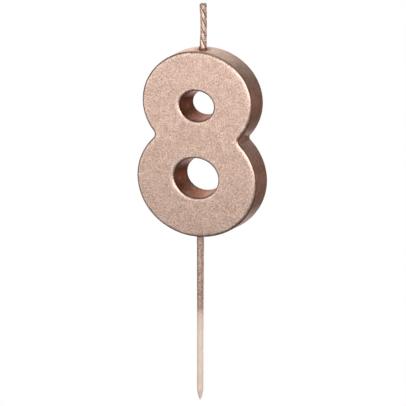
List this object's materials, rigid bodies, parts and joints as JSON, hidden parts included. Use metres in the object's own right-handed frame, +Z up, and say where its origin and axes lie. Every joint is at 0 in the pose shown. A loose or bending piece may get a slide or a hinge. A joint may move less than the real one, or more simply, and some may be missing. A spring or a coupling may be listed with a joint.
{
  "type": "number birthday candle",
  "caption": "Cast wax figure eight with a metallic lacquer, a twisted cotton wick on top and a pointed plastic pick below.",
  "frame": {"origin": "on the axis of the pick, halfway through the numeral's thickness, level with the numeral's lowest point, which is the cake's surface", "axes": "+Z up along the pick, -Y out of the rounded front face, +X to the right as the numeral is read"},
  "size_m": [0.0486, 0.0104, 0.1514],
  "materials": {
    "lacquered_wax": "satin metallic lacquer over paraffin wax",
    "lacquered_wick": "waxed cotton under the same lacquer",
    "pick_plastic": "cream plastic, lacquered on its upper half"
  },
  "bodies": {
    "pick": {"pick": "pick_plastic"},
    "numeral": {"numeral_body": "lacquered_wax", "wick_ply_1": "lacquered_wick", "wick_ply_2": "lacquered_wick", "wick_ply_3": "lacquered_wick"}
  },
  "joints": [
    {"name": "numeral_lift", "type": "slide", "parent": "pick", "child": "numeral", "axis": [0, 0, 1], "range_m": [0, 0.011]}
  ]
}
